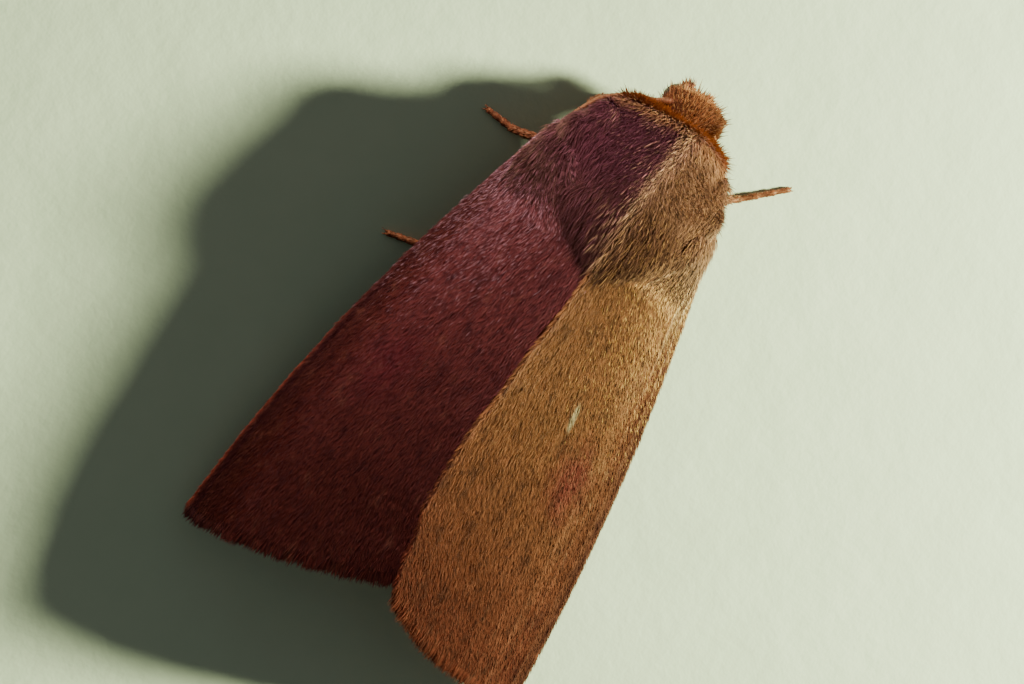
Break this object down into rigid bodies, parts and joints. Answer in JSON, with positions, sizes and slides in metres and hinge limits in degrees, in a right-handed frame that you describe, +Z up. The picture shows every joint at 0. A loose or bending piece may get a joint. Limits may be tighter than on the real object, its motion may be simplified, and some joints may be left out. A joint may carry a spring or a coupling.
{
  "type": "moth",
  "caption": "Resting noctuid moth, reddish brown, with its wings folded like a low roof over the body and its legs on the floor; a still life-size model.",
  "frame": {"origin": "middle of the footprint of the whole animal, on the floor it rests on", "axes": "+Z up, the head towards -Y, the moth's left side towards +X"},
  "size_m": [0.0118, 0.0194, 0.0054],
  "materials": {
    "coat": "woolly hair-like scales",
    "forewing_scales": "matt overlapping scales with a weak sheen",
    "hindwing_scales": "matt thin scales",
    "eye": "glossy faceted eye",
    "antenna": "matt horn",
    "leg": "matt scaled horn"
  },
  "bodies": {
    "root": {"head": "coat", "proboscis": "antenna", "collar": "coat", "thorax": "coat", "abdomen": "coat", "eye_left": "eye", "eye_right": "eye", "palp_left": "coat", "palp_right": "coat", "antenna_left": "antenna", "antenna_right": "antenna", "tegula_left": "coat", "tegula_right": "coat", "forewing_left": "forewing_scales", "forewing_right": "forewing_scales", "hindwing_left": "hindwing_scales", "hindwing_right": "hindwing_scales", "foreleg_left": "leg", "foreleg_right": "leg", "midleg_left": "leg", "midleg_right": "leg", "hindleg_left": "leg", "hindleg_right": "leg"}
  },
  "joints": []
}
